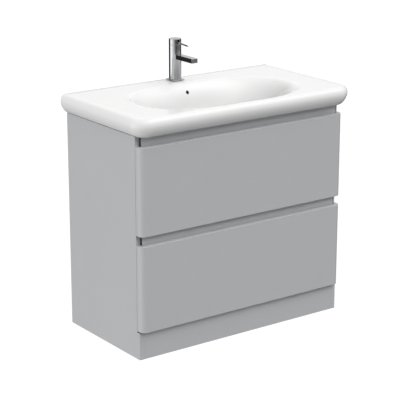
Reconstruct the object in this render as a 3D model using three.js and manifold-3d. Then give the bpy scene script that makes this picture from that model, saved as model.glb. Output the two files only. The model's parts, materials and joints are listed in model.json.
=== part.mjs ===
// Floor-standing bathroom vanity unit: a two-drawer cabinet on a plinth, a ceramic basin with a
// rolled rim, a click-clack waste and a pin-lever mixer tap.
// Millimetres. +X is to the right of somebody facing the unit, +Y points to the wall, +Z is up.
// The origin is on the floor, at the centre of the unit's overall width and depth.
import * as THREE from "three";
import { mergeVertices } from "three/addons/utils/BufferGeometryUtils.js";
import Module from "manifold-3d";

const wasm = await Module();
wasm.setup();

// ---- driving dimensions -----------------------------------------------------------------------
const GAP = 0.3; // left between pieces that touch

const CABINET_WIDTH = 900;
const CABINET_DEPTH = 460; // plinth face to wall
const CABINET_HEIGHT = 809; // floor to the underside of the basin
const BOARD = 18; // carcass board
const PLINTH_HEIGHT = 100;
const REAR_PLINTH_INSET = 60;
const BACK_RAIL_HEIGHT = 100;

const FRONT_HEIGHT = 317.5; // each drawer front
const FRONT_PROUD = 20; // drawer front's face ahead of the plinth's face
const FRONT_CORNER = 23; // radius of its two upright corners
const RETURN_THICKNESS = 15; // its side returns, which meet the side panels
const RETURN_GAP = 2;
const PLINTH_CLEARANCE = 5;
const FINGER_GAP = 34.5;

const RAIL_SETBACK = 5; // handle rail's face behind the plinth's face
const RAIL_WALL = 2.5;
const RAIL_END_INSET = 16.2; // cabinet's side to the handle rail's end
const CAP_THICKNESS = 1.5;

const BRACKET_LEG = 40;
const BRACKET_THICKNESS = 2.5;
const BRACKET_HOLE = 6;

const BOX_WALL = 15; // drawer box
const BOX_BASE = 10;
const BOX_BASE_RAISE = 5;
const BOX_DEPTH = 421;
const WELL_HALF_WIDTH = 110; // the upper drawer's well round the waste trap
const WELL_FRONT = -90;

const RUNNER_LENGTH = 400;
const RUNNER_HEIGHT = 45;
const RUNNER_SPACE = 13; // drawer box to side panel
const RUNNER_RAISE = 25.5; // runner's middle above the drawer box's lower edge
const RUNNER_WALL = 1.5;

const BASIN_WIDTH = 950;
const BASIN_OVERHANG = 50; // ahead of the plinth's face
const BASIN_HEIGHT = 70;
const RIM_ROLL = 27; // rounding from the widest line up to the top
const RIM_TUCK = 30; // how far the rim draws in from the widest line down to the cabinet
const RIM_CORNER = 60; // plan radius at the widest line
const CERAMIC = 12;
const DECK = 14; // thickness of the flat top
const BOWL_WIDTH = 700;
const BOWL_LENGTH = 389; // front to back
const BOWL_DEPTH = 125;
const BOWL_ROUND = 110; // how far the bowl's sides curve in on the way to its floor
const BOWL_SQUARENESS = 2.6; // 2 is an ellipse, more is squarer
const OVERFLOW_DIAMETER = 13;
const OVERFLOW_DROP = 33; // below the basin's top

const WASTE_HOLE = 46;
const WASTE_FLANGE = 62;
const WASTE_TAIL = 42; // outside
const WASTE_BORE = 34;
const WASTE_TAIL_END = 690; // above the floor
const WASTE_NUT_HEIGHT = 12;
const PLUG_DIAMETER = 54;

const TAP_DIAMETER = 46.6;
const TAP_HEIGHT = 158;
const TAP_HEAD_HEIGHT = 21.6;
const TAP_HOLE = 35;
const TAP_WALL = 5;
const TAP_PLATE = 50;
const TAP_PLATE_THICKNESS = 3.8;
const TAP_SEAL_THICKNESS = 1.2;
const STUD_DIAMETER = 8;
const STUD_GRIP = 14; // how far the stud goes into the tap body
const CARTRIDGE_HEIGHT = 38;
const SPOUT_WIDTH = 26;
const SPOUT_HEIGHT = 17.5;
const SPOUT_TOP = 980; // above the floor
const SPOUT_REACH = 126; // tap's axis to the spout's tip
const AERATOR_DIAMETER = 20;
const AERATOR_INSET = 14; // its axis behind the spout's tip
const LEVER_DIAMETER = 6.5;
const LEVER_REACH = 82; // tap's axis to the lever's tip
const LEVER_DROOP = THREE.MathUtils.degToRad(4);
const LEVER_PIVOT_FORWARD = 5; // lever's pivot ahead of the tap's axis
const LEVER_PIVOT_DROP = 12; // and below the top of the head
const HEAD_TOP = 2.2; // thickness of the head over its slot

// ---- places worked out from them --------------------------------------------------------------
const SIDE = CABINET_WIDTH / 2;
const INNER = SIDE - BOARD;
const WALL = (CABINET_DEPTH + BASIN_OVERHANG) / 2; // y of the wall
const PLINTH_FACE = WALL - CABINET_DEPTH;
const CARCASS_TOP = CABINET_HEIGHT - GAP;
const FLOOR_TOP = PLINTH_HEIGHT + BOARD; // top of the bottom panel

const FRONT_FACE = PLINTH_FACE - FRONT_PROUD;
const FRONT_BACK = FRONT_FACE + BOARD;
const PANEL_EDGE = PLINTH_FACE + 16.5; // side panels' front edge behind the drawers
const RETURN_BACK = PANEL_EDGE - RETURN_GAP;
const RAIL_FACE = PLINTH_FACE + RAIL_SETBACK;
const RAIL_BACK = PANEL_EDGE - GAP;
const RAIL_HALF = SIDE - RAIL_END_INSET - CAP_THICKNESS - GAP;

const LOWER_FRONT_Z = PLINTH_HEIGHT + PLINTH_CLEARANCE;
const UPPER_FRONT_Z = LOWER_FRONT_Z + FRONT_HEIGHT + FINGER_GAP;
const MIDDLE_RAIL_Z = [405, 470];
const UPPER_RAIL_Z = [700, 772]; // ends below the bowl's front slope
const UPPER_HANDLE_Z = [752, CARCASS_TOP];
const BRACKET_Z = [650, 690];

const BOX_OUTER = INNER - RUNNER_SPACE;
const BOX_INNER = BOX_OUTER - BOX_WALL;
const BOX_FRONT = FRONT_BACK + GAP;
const BOX_BACK = BOX_FRONT + BOX_DEPTH;
const LOWER_BOX_Z = [125, 345];
const UPPER_BOX_Z = [475, 655];

const BASIN_TOP = CABINET_HEIGHT + BASIN_HEIGHT;
const BASIN_FRONT = PLINTH_FACE - BASIN_OVERHANG;
const WIDEST_Z = BASIN_TOP - RIM_ROLL;
const DECK_UNDERSIDE = BASIN_TOP - DECK;
const BOWL_FLOOR = BASIN_TOP - BOWL_DEPTH;
const BOWL_CENTRE = new THREE.Vector2(0, -34.5);
const BOWL_FRONT = BOWL_CENTRE.y - BOWL_LENGTH / 2;
const BOWL_BACK = BOWL_CENTRE.y + BOWL_LENGTH / 2;
const WASTE = new THREE.Vector2(0, 10);
const TAP = new THREE.Vector2(0, 216);

const BEYOND = 400; // carries a cutting tool well past what it cuts
const SIDES = [["left", -1], ["right", 1]];

// ---- finishes ---------------------------------------------------------------------------------
const finish = (color, roughness, metalness = 0) =>
  new THREE.MeshStandardMaterial({ color, roughness, metalness });
const greyFoil = finish(0xa9abad, 0.45);
const greyBoard = finish(0xb4b6b8, 0.6);
const glaze = finish(0xf6f6f5, 0.08);
const chrome = finish(0xc9ccd0, 0.12, 1);
const zincSteel = finish(0x9fa3a8, 0.4, 1);
const brass = finish(0xb5904a, 0.35, 1);
const darkPlastic = finish(0x3c3e40, 0.6);
const whitePlastic = finish(0xe6e6e2, 0.5);
const rubber = finish(0x242526, 0.8);

// ---- shape helpers ----------------------------------------------------------------------------
const vanity = new THREE.Group();

// Every piece is placed by its own position: an anchor, with its geometry drawn round that anchor.
function add(name, material, geometry, anchor = new THREE.Vector3()) {
  const mesh = new THREE.Mesh(geometry, material);
  mesh.name = name;
  mesh.position.copy(anchor);
  vanity.add(mesh);
}

const ordered = (a, b) => [Math.min(a, b), Math.max(a, b)];

function board(name, [x0, x1], [y0, y1], [z0, z1], material = greyBoard) {
  const middle = new THREE.Vector3((x0 + x1) / 2, (y0 + y1) / 2, (z0 + z1) / 2);
  add(name, material, new THREE.BoxGeometry(x1 - x0, y1 - y0, z1 - z0), middle);
}

function block([x0, x1], [y0, y1], [z0, z1]) {
  const geometry = new THREE.BoxGeometry(x1 - x0, y1 - y0, z1 - z0);
  return geometry.translate((x0 + x1) / 2, (y0 + y1) / 2, (z0 + z1) / 2);
}

// A straight-sided solid: an outline of [a, b] points or a Shape, extruded up Z, along X or along Y.
const asShape = (outline) =>
  outline instanceof THREE.Shape
    ? outline
    : new THREE.Shape(outline.map(([a, b]) => new THREE.Vector2(a, b)));
const extruded = (outline, depth) =>
  new THREE.ExtrudeGeometry(asShape(outline), { depth, bevelEnabled: false, curveSegments: 8 });
const upZ = (outline, [z0, z1]) => extruded(outline, z1 - z0).translate(0, 0, z0);

const X_AXIS = new THREE.Vector3(1, 0, 0);
const Y_AXIS = new THREE.Vector3(0, 1, 0);
const Z_AXIS = new THREE.Vector3(0, 0, 1);
const YZ_TO_X = new THREE.Matrix4().makeBasis(Y_AXIS, Z_AXIS, X_AXIS);
const XZ_TO_Y = new THREE.Matrix4().makeBasis(X_AXIS, Z_AXIS, Y_AXIS.clone().negate());
const alongX = (outline, [x0, x1]) =>
  extruded(outline, x1 - x0).applyMatrix4(YZ_TO_X).translate(x0, 0, 0);
const alongY = (outline, [y0, y1]) =>
  extruded(outline, y1 - y0).applyMatrix4(XZ_TO_Y).translate(0, y1, 0);

// A turned solid round an upright axis: [radius, z] points, listed anticlockwise and closed here.
function turned(profile, centre, segments = 40) {
  const points = [...profile, profile[0]].map(([r, z]) => new THREE.Vector2(r, z));
  const geometry = new THREE.LatheGeometry(points, segments);
  return geometry.rotateX(Math.PI / 2).translate(centre.x, centre.y, 0);
}

const ring = (inner, outer, [z0, z1]) => [[inner, z0], [outer, z0], [outer, z1], [inner, z1]];

function rod(radius, from, to, sides = 20) {
  const way = new THREE.Vector3().subVectors(to, from);
  const turn = new THREE.Quaternion().setFromUnitVectors(Y_AXIS, way.clone().normalize());
  const middle = from.clone().add(to).multiplyScalar(0.5);
  return new THREE.CylinderGeometry(radius, radius, way.length(), sides)
    .applyQuaternion(turn)
    .translate(middle.x, middle.y, middle.z);
}

const upright = (radius, { x, y }, [z0, z1], sides = 32) =>
  rod(radius, new THREE.Vector3(x, y, z0), new THREE.Vector3(x, y, z1), sides);

// Joins and cuts.
function solid(geometry) {
  const bare = geometry.clone();
  bare.deleteAttribute("normal");
  bare.deleteAttribute("uv");
  const merged = mergeVertices(bare, 1e-3);
  return new wasm.Manifold(
    new wasm.Mesh({
      numProp: 3,
      vertProperties: merged.attributes.position.array,
      triVerts: new Uint32Array(merged.index.array),
    }),
  );
}

function geometryOf(manifold) {
  const { vertProperties, triVerts } = manifold.getMesh();
  const geometry = new THREE.BufferGeometry();
  geometry.setAttribute("position", new THREE.BufferAttribute(vertProperties, 3));
  geometry.setIndex(new THREE.BufferAttribute(triVerts, 1));
  geometry.computeVertexNormals();
  return geometry;
}

const subtractAll = (from, tools) => tools.reduce((left, tool) => left.subtract(solid(tool)), from);
const cut = (geometry, ...tools) => geometryOf(subtractAll(solid(geometry), tools));

// ---- carcass ----------------------------------------------------------------------------------
function makeCarcass() {
  // Each side panel runs to the floor, and steps forward at the bottom to meet the plinth's face.
  const panel = [
    [PLINTH_FACE, 0],
    [WALL, 0],
    [WALL, CARCASS_TOP],
    [PANEL_EDGE, CARCASS_TOP],
    [PANEL_EDGE, PLINTH_HEIGHT],
    [PLINTH_FACE, PLINTH_HEIGHT],
  ];
  for (const [side, sign] of SIDES)
    add("side_panel_" + side, greyFoil, alongX(panel, ordered(sign * INNER, sign * SIDE)));

  const between = [-INNER + GAP, INNER - GAP];
  const underFloor = [0, PLINTH_HEIGHT - GAP];
  const rearPlinth = [WALL - REAR_PLINTH_INSET - BOARD, WALL - REAR_PLINTH_INSET];
  board("bottom_panel", between, [PANEL_EDGE, WALL], [PLINTH_HEIGHT, FLOOR_TOP]);
  board("plinth_front", between, [PLINTH_FACE, PLINTH_FACE + BOARD], underFloor, greyFoil);
  board("plinth_rear", between, rearPlinth, underFloor);

  const frontRail = [PANEL_EDGE, PANEL_EDGE + BOARD];
  board("front_rail_upper", between, frontRail, UPPER_RAIL_Z);
  board("front_rail_middle", between, frontRail, MIDDLE_RAIL_Z);

  const backRail = [WALL - BOARD, WALL];
  const lowerBackRail = [FLOOR_TOP + GAP, FLOOR_TOP + BACK_RAIL_HEIGHT];
  board("back_rail_upper", between, backRail, [CABINET_HEIGHT - BACK_RAIL_HEIGHT, CARCASS_TOP]);
  board("back_rail_lower", between, backRail, lowerBackRail);
}

// The recessed rail behind each finger gap is a channel, closed at both ends by dark caps.
function makeHandleRail(name, [z0, z1]) {
  const channel = [
    [RAIL_FACE, z0],
    [RAIL_BACK, z0],
    [RAIL_BACK, z0 + RAIL_WALL],
    [RAIL_FACE + RAIL_WALL, z0 + RAIL_WALL],
    [RAIL_FACE + RAIL_WALL, z1 - RAIL_WALL],
    [RAIL_BACK, z1 - RAIL_WALL],
    [RAIL_BACK, z1],
    [RAIL_FACE, z1],
  ];
  add(name, greyFoil, alongX(channel, [-RAIL_HALF, RAIL_HALF]));
  const capInner = RAIL_HALF + GAP;
  for (const [side, sign] of SIDES) {
    const xs = ordered(sign * capInner, sign * (capInner + CAP_THICKNESS));
    board(`${name}_cap_${side}`, xs, [RAIL_FACE, RAIL_BACK], [z0, z1], darkPlastic);
  }
}

// Angle plates that tie the side panels to the wall, under the upper back rail.
function makeWallBrackets() {
  const outer = INNER - GAP;
  for (const [side, sign] of SIDES) {
    const angle = [
      [outer, WALL - BRACKET_LEG],
      [outer, WALL],
      [outer - BRACKET_LEG, WALL],
      [outer - BRACKET_LEG, WALL - BRACKET_THICKNESS],
      [outer - BRACKET_THICKNESS, WALL - BRACKET_THICKNESS],
      [outer - BRACKET_THICKNESS, WALL - BRACKET_LEG],
    ].map(([x, y]) => [sign * x, y]);
    const holeX = sign * (outer - 0.6 * BRACKET_LEG);
    const holeZ = (BRACKET_Z[0] + BRACKET_Z[1]) / 2;
    const drill = rod(
      BRACKET_HOLE / 2,
      new THREE.Vector3(holeX, WALL - BRACKET_LEG, holeZ),
      new THREE.Vector3(holeX, WALL + BRACKET_LEG, holeZ),
    );
    add("wall_bracket_" + side, zincSteel, cut(upZ(angle, BRACKET_Z), drill));
  }
}

// ---- drawers ----------------------------------------------------------------------------------
// A drawer front: a board with rounded upright corners and short returns to the side panels.
function makeDrawerFront(name, z0) {
  const centreX = SIDE - FRONT_CORNER;
  const centreY = FRONT_FACE + FRONT_CORNER;
  const inside = SIDE - RETURN_THICKNESS;
  const outline = new THREE.Shape();
  outline.moveTo(-SIDE, RETURN_BACK);
  outline.lineTo(-SIDE, centreY);
  outline.absarc(-centreX, centreY, FRONT_CORNER, Math.PI, 1.5 * Math.PI);
  outline.lineTo(centreX, FRONT_FACE);
  outline.absarc(centreX, centreY, FRONT_CORNER, 1.5 * Math.PI, 2 * Math.PI);
  outline.lineTo(SIDE, RETURN_BACK);
  outline.lineTo(inside, RETURN_BACK);
  outline.lineTo(inside, FRONT_BACK);
  outline.lineTo(-inside, FRONT_BACK);
  outline.lineTo(-inside, RETURN_BACK);
  add(name, greyFoil, upZ(outline, [z0, z0 + FRONT_HEIGHT]));
}

// A telescopic runner is three nested channels: one on the cabinet, one on the drawer, one between.
function makeRunner(drawer, side, sign, middleZ) {
  const ys = [BOX_BACK - RUNNER_LENGTH, BOX_BACK];
  // web and lip are the distances of a channel's back and of its edges from the side panel.
  const channel = (half, web, lip) => {
    const inside = web < lip ? web + RUNNER_WALL : web - RUNNER_WALL;
    const points = [
      [web, -half],
      [lip, -half],
      [lip, RUNNER_WALL - half],
      [inside, RUNNER_WALL - half],
      [inside, half - RUNNER_WALL],
      [lip, half - RUNNER_WALL],
      [lip, half],
      [web, half],
    ];
    return points.map(([x, z]) => [sign * (INNER - x), middleZ + z]);
  };
  const half = RUNNER_HEIGHT / 2;
  const nesting = 3.5; // each channel is this much lower than the one round it, above and below
  const members = [
    ["cabinet", half, GAP, 9.5],
    ["middle", half - nesting, 4.5, 11],
    ["drawer", half - 2 * nesting, RUNNER_SPACE - GAP, 7.5],
  ];
  for (const [member, high, web, lip] of members)
    add(`${drawer}_runner_${side}_${member}_member`, zincSteel, alongY(channel(high, web, lip), ys));
}

function makeBoxSides(drawer, [z0, z1]) {
  for (const [side, sign] of SIDES) {
    const xs = ordered(sign * BOX_INNER, sign * BOX_OUTER);
    board(`${drawer}_drawer_side_${side}`, xs, [BOX_FRONT, BOX_BACK], [z0, z1]);
    makeRunner(drawer, side, sign, z0 + RUNNER_RAISE);
  }
}

const baseHeights = ([z0]) => [z0 + BOX_BASE_RAISE, z0 + BOX_BASE_RAISE + BOX_BASE];
const wallHeights = ([z0, z1]) => [baseHeights([z0])[1] + GAP, z1];

function makeLowerDrawer() {
  const xs = [-BOX_INNER + GAP, BOX_INNER - GAP];
  makeDrawerFront("lower_drawer_front", LOWER_FRONT_Z);
  makeBoxSides("lower", LOWER_BOX_Z);
  board("lower_drawer_base", xs, [BOX_FRONT, BOX_BACK], baseHeights(LOWER_BOX_Z));
  board("lower_drawer_back", xs, [BOX_BACK - BOX_WALL, BOX_BACK], wallHeights(LOWER_BOX_Z));
}

// The upper drawer's box goes round a well, which clears the waste trap.
function makeUpperDrawer() {
  const inside = BOX_INNER - GAP;
  const wellOuter = WELL_HALF_WIDTH + BOX_WALL;
  const walls = wallHeights(UPPER_BOX_Z);
  const base = [
    [-inside, BOX_FRONT],
    [inside, BOX_FRONT],
    [inside, BOX_BACK],
    [WELL_HALF_WIDTH, BOX_BACK],
    [WELL_HALF_WIDTH, WELL_FRONT],
    [-WELL_HALF_WIDTH, WELL_FRONT],
    [-WELL_HALF_WIDTH, BOX_BACK],
    [-inside, BOX_BACK],
  ];
  makeDrawerFront("upper_drawer_front", UPPER_FRONT_Z);
  makeBoxSides("upper", UPPER_BOX_Z);
  add("upper_drawer_base", greyBoard, upZ(base, baseHeights(UPPER_BOX_Z)));
  const wellFront = [WELL_FRONT - BOX_WALL, WELL_FRONT - GAP];
  board("upper_drawer_well_front", [-wellOuter, wellOuter], wellFront, walls);
  for (const [side, sign] of SIDES) {
    const well = ordered(sign * WELL_HALF_WIDTH, sign * wellOuter);
    const back = ordered(sign * (wellOuter + GAP), sign * inside);
    board("upper_drawer_well_" + side, well, [WELL_FRONT, BOX_BACK], walls);
    board("upper_drawer_back_" + side, back, [BOX_BACK - BOX_WALL, BOX_BACK], walls);
  }
}

// ---- basin ------------------------------------------------------------------------------------
// A plan with rounded front corners, drawn inset from the basin's widest line. It runs on past the
// wall, where the basin is cut flat.
function basinPlan(inset) {
  const half = BASIN_WIDTH / 2 - inset;
  const front = BASIN_FRONT + inset;
  const corner = RIM_CORNER - inset;
  const plan = new THREE.Shape();
  plan.moveTo(-half, WALL + RIM_CORNER);
  plan.lineTo(-half, front + corner);
  plan.absarc(-half + corner, front + corner, corner, Math.PI, 1.5 * Math.PI);
  plan.lineTo(half - corner, front);
  plan.absarc(half - corner, front + corner, corner, 1.5 * Math.PI, 2 * Math.PI);
  plan.lineTo(half, WALL + RIM_CORNER);
  return plan;
}

// A slab whose edges round inwards at both ends, over size across and height up.
const roundedSlab = (shape, [z0, z1], size, height, offset = 0) =>
  new THREE.ExtrudeGeometry(shape, {
    depth: z1 - z0 - 2 * height,
    bevelEnabled: true,
    bevelSize: size,
    bevelThickness: height,
    bevelOffset: offset,
    bevelSegments: 6,
    curveSegments: 10,
  }).translate(0, 0, z0 + height);

// The bowl seen from above: a superellipse, between an ellipse and a rounded rectangle.
function bowlPlan(halfX, halfY) {
  const points = 48;
  const squared = (value) => Math.sign(value) * Math.abs(value) ** (2 / BOWL_SQUARENESS);
  return new THREE.Shape(
    Array.from({ length: points }, (_, i) => {
      const angle = (2 * Math.PI * i) / points;
      return new THREE.Vector2(
        BOWL_CENTRE.x + halfX * squared(Math.cos(angle)),
        BOWL_CENTRE.y + halfY * squared(Math.sin(angle)),
      );
    }),
  );
}

// The bowl seen from the side, as [y, z]: a long slope under the front rim, a flat floor and a
// steeper back. grow moves the outline outwards, square to itself.
function bowlSide(grow) {
  const point = (y, z) => new THREE.Vector2(y, z);
  const middleZ = (BASIN_TOP + BOWL_FLOOR) / 2;
  const slopes = [
    new THREE.CubicBezierCurve(
      point(BOWL_FRONT, BASIN_TOP),
      point(BOWL_FRONT + 59, middleZ + 8),
      point(BOWL_FRONT + 79, BOWL_FLOOR),
      point(BOWL_FRONT + 179, BOWL_FLOOR),
    ),
    new THREE.CubicBezierCurve(
      point(BOWL_BACK - 100, BOWL_FLOOR),
      point(BOWL_BACK - 30, BOWL_FLOOR),
      point(BOWL_BACK - 8, middleZ - 26),
      point(BOWL_BACK, BASIN_TOP),
    ),
  ];
  const steps = 10;
  const points = slopes.flatMap((slope) =>
    Array.from({ length: steps + 1 }, (_, i) => {
      const outward = slope.getTangent(i / steps).rotateAround(point(0, 0), -Math.PI / 2);
      return slope.getPoint(i / steps).addScaledVector(outward, grow);
    }),
  );
  const above = BASIN_TOP + BEYOND;
  return new THREE.Shape([
    point(points[0].x, above),
    ...points,
    point(points[points.length - 1].x, above),
  ]);
}

// The bowl's hollow, or with grow the outside of the ceramic round it.
function bowlSolid(grow) {
  const floor = bowlPlan(BOWL_WIDTH / 2 - BOWL_ROUND, BOWL_LENGTH / 2 - BOWL_ROUND);
  const heights = [BOWL_FLOOR - grow, BOWL_FLOOR + BEYOND];
  const fromAbove = roundedSlab(floor, heights, BOWL_ROUND, BOWL_ROUND, grow);
  return solid(fromAbove).intersect(solid(alongX(bowlSide(grow), [-BEYOND, BEYOND])));
}

function makeBasin() {
  const wide = [-2 * BEYOND, 2 * BEYOND];
  const rolled = roundedSlab(basinPlan(RIM_ROLL), [BASIN_TOP - BEYOND, BASIN_TOP], RIM_ROLL, RIM_ROLL);
  const tuckHeights = [CABINET_HEIGHT, CABINET_HEIGHT + BEYOND];
  const tucked = roundedSlab(basinPlan(RIM_TUCK), tuckHeights, RIM_TUCK, WIDEST_Z - CABINET_HEIGHT);
  const body = subtractAll(solid(rolled).intersect(solid(tucked)), [
    block(wide, [WALL, WALL + BEYOND], [0, 2 * BASIN_TOP]),
    block([-INNER, INNER], [PANEL_EDGE + 20, WALL - BOARD], [0, DECK_UNDERSIDE]),
  ]);
  const shell = subtractAll(bowlSolid(CERAMIC), [
    block(wide, wide, [DECK_UNDERSIDE, DECK_UNDERSIDE + 2 * BEYOND]),
  ]);
  const overflowZ = BASIN_TOP - OVERFLOW_DROP;
  const overflow = rod(
    OVERFLOW_DIAMETER / 2,
    new THREE.Vector3(0, BOWL_BACK - 2 * CERAMIC, overflowZ),
    new THREE.Vector3(0, BOWL_BACK + 2 * CERAMIC, overflowZ),
  );
  const made = subtractAll(body.add(shell).subtract(bowlSolid(0)), [
    upright(WASTE_HOLE / 2, WASTE, [0, BASIN_TOP]),
    upright(TAP_HOLE / 2, TAP, [CABINET_HEIGHT, BASIN_TOP + DECK]),
    overflow,
  ]);
  add("basin", glaze, geometryOf(made));
}

// ---- waste ------------------------------------------------------------------------------------
function makeWaste() {
  const flange = WASTE_FLANGE / 2;
  const tail = WASTE_TAIL / 2;
  const bore = WASTE_BORE / 2;
  const seat = BOWL_FLOOR + GAP;
  const dish = seat + 1.2; // the flange is dished, with a raised lip round it
  const lipTop = seat + 2.5;
  const lip = 3;
  const body = [
    [bore, WASTE_TAIL_END],
    [tail, WASTE_TAIL_END],
    [tail, seat],
    [flange, seat],
    [flange, lipTop],
    [flange - lip, lipTop],
    [flange - lip, dish],
    [bore, dish],
  ];
  add("waste_body", chrome, turned(body, WASTE));

  const underside = BOWL_FLOOR - CERAMIC - GAP;
  const sealBottom = underside - 4;
  const nutTop = sealBottom - GAP;
  const nut = upright(flange, WASTE, [nutTop - WASTE_NUT_HEIGHT, nutTop], 6);
  const thread = upright(tail + GAP, WASTE, [nutTop - 2 * WASTE_NUT_HEIGHT, nutTop + 1], 40);
  add("waste_seal", rubber, turned(ring(tail + GAP, flange - 1, [sealBottom, underside]), WASTE));
  add("waste_backnut", brass, cut(nut, thread));

  const cap = PLUG_DIAMETER / 2;
  const capZ = dish + GAP;
  const stem = 5;
  const stemEnd = capZ - 28;
  const plug = [
    [0, stemEnd],
    [stem, stemEnd],
    [stem, capZ],
    [cap, capZ],
    [cap, capZ + 2],
    [cap - 7, capZ + 3.6],
    [cap - 17, capZ + 4.6],
    [0, capZ + 5],
  ];
  add("waste_plug", chrome, turned(plug, WASTE));
}

// ---- tap --------------------------------------------------------------------------------------
const TAP_RADIUS = TAP_DIAMETER / 2;
const TAP_TOP = BASIN_TOP + TAP_HEIGHT;
const HEAD_BASE = TAP_TOP - TAP_HEAD_HEIGHT;
const SEAL_TOP = BASIN_TOP + GAP + TAP_SEAL_THICKNESS;
const PLATE_TOP = SEAL_TOP + GAP + TAP_PLATE_THICKNESS;
const BODY_BASE = PLATE_TOP + GAP;
const BODY_TOP = HEAD_BASE - GAP;
const STUD_CLEARANCE = STUD_DIAMETER / 2 + GAP;

function makeTapBody() {
  const seal = ring(TAP_RADIUS - 4, TAP_RADIUS, [BASIN_TOP + GAP, SEAL_TOP]);
  add("tap_base_seal", rubber, turned(seal, TAP));

  const half = TAP_PLATE / 2;
  const plate = block([-half, half], [TAP.y - half, TAP.y + half], [SEAL_TOP + GAP, PLATE_TOP]);
  add("tap_base_plate", chrome, cut(plate, upright(6, TAP, [SEAL_TOP, PLATE_TOP + 1])));

  const bore = TAP_RADIUS - TAP_WALL;
  const boreBottom = BODY_TOP - CARTRIDGE_HEIGHT;
  const body = cut(
    upright(TAP_RADIUS, TAP, [BODY_BASE, BODY_TOP], 56),
    upright(STUD_CLEARANCE, TAP, [BODY_BASE - 1, BODY_BASE + STUD_GRIP + 1]),
    upright(bore, TAP, [boreBottom, BODY_TOP + 1], 40),
  );
  add("tap_body", chrome, body);

  const spindle = 7;
  const shoulder = BODY_TOP - 4;
  const cartridge = [
    [0, boreBottom + GAP],
    [bore - GAP, boreBottom + GAP],
    [bore - GAP, shoulder],
    [spindle, shoulder],
    [spindle, BODY_TOP + 2],
    [0, BODY_TOP + 2],
  ];
  add("tap_cartridge", whitePlastic, turned(cartridge, TAP));
}

function makeTapSpout() {
  const tip = TAP.y - SPOUT_REACH;
  const bottom = SPOUT_TOP - SPOUT_HEIGHT;
  const pocketTop = bottom + 7;
  const nozzle = new THREE.Vector2(0, tip + AERATOR_INSET);
  const half = SPOUT_WIDTH / 2;
  const bar = block([-half, half], [tip, TAP.y - TAP_RADIUS / 2], [bottom, SPOUT_TOP]);
  const spout = cut(
    bar,
    upright(TAP_RADIUS + GAP, TAP, [bottom - 1, SPOUT_TOP + 1], 56),
    upright(AERATOR_DIAMETER / 2 + GAP, nozzle, [bottom - 1, pocketTop]),
  );
  const aerator = upright(AERATOR_DIAMETER / 2, nozzle, [bottom + 0.5, pocketTop - GAP]);
  add("tap_spout", chrome, spout);
  add("tap_aerator", whitePlastic, aerator);
}

// The head is a cap. The lever comes out through a slot in its front, long enough for the lift.
function makeTapHead() {
  const pivot = new THREE.Vector3(0, TAP.y - LEVER_PIVOT_FORWARD, TAP_TOP - LEVER_PIVOT_DROP);
  const under = TAP_TOP - HEAD_TOP;
  const slotHalf = LEVER_DIAMETER / 2 + 0.8;
  const slotBottom = pivot.z - 6;
  const head = cut(
    upright(TAP_RADIUS, TAP, [HEAD_BASE, TAP_TOP], 56),
    upright(TAP_RADIUS - TAP_WALL - 1, TAP, [HEAD_BASE - 1, under], 40),
    block([-slotHalf, slotHalf], [TAP.y - 2 * TAP_RADIUS, TAP.y], [slotBottom, under]),
  );
  add("tap_head", chrome, head);

  const length = (LEVER_REACH - LEVER_PIVOT_FORWARD) / Math.cos(LEVER_DROOP);
  const forward = new THREE.Vector3(0, -Math.cos(LEVER_DROOP), -Math.sin(LEVER_DROOP));
  const pin = rod(LEVER_DIAMETER / 2, new THREE.Vector3(), forward.multiplyScalar(length));
  const hubRadius = 5;
  const hubEnd = new THREE.Vector3(hubRadius, 0, 0);
  const hub = rod(hubRadius, hubEnd, hubEnd.clone().negate());
  add("tap_lever", chrome, geometryOf(solid(pin).add(solid(hub))), pivot);
}

function makeTapFixings() {
  const washer = [DECK_UNDERSIDE - GAP - 3, DECK_UNDERSIDE - GAP];
  const nut = [washer[0] - GAP - 8, washer[0] - GAP];
  const stud = [nut[0] - 22, BODY_BASE + STUD_GRIP];
  const clearance = upright(STUD_CLEARANCE, TAP, [nut[0] - 1, washer[1] + 1]);
  const washerRadius = TAP_HOLE / 2 + 2.5;
  add("tap_fixing_washer", zincSteel, cut(upright(washerRadius, TAP, washer), clearance));
  add("tap_fixing_nut", brass, cut(upright(7.5, TAP, nut, 6), clearance));
  add("tap_fixing_stud", zincSteel, upright(STUD_DIAMETER / 2, TAP, stud, 20));
}

makeCarcass();
makeHandleRail("handle_rail_upper", UPPER_HANDLE_Z);
makeHandleRail("handle_rail_middle", MIDDLE_RAIL_Z);
makeWallBrackets();
makeUpperDrawer();
makeLowerDrawer();
makeBasin();
makeWaste();
makeTapBody();
makeTapSpout();
makeTapHead();
makeTapFixings();

export default vanity;
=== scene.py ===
# Looks of a floor-standing bathroom vanity unit: a two-drawer cabinet on a plinth, a ceramic basin
# with a rolled rim, a click-clack waste and a pin-lever mixer tap.
# Metres. +X is to the right of somebody facing the unit, +Y points to the wall, +Z is up.
import json
import math

import bmesh
import bpy
from mathutils import Matrix, Vector

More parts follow.
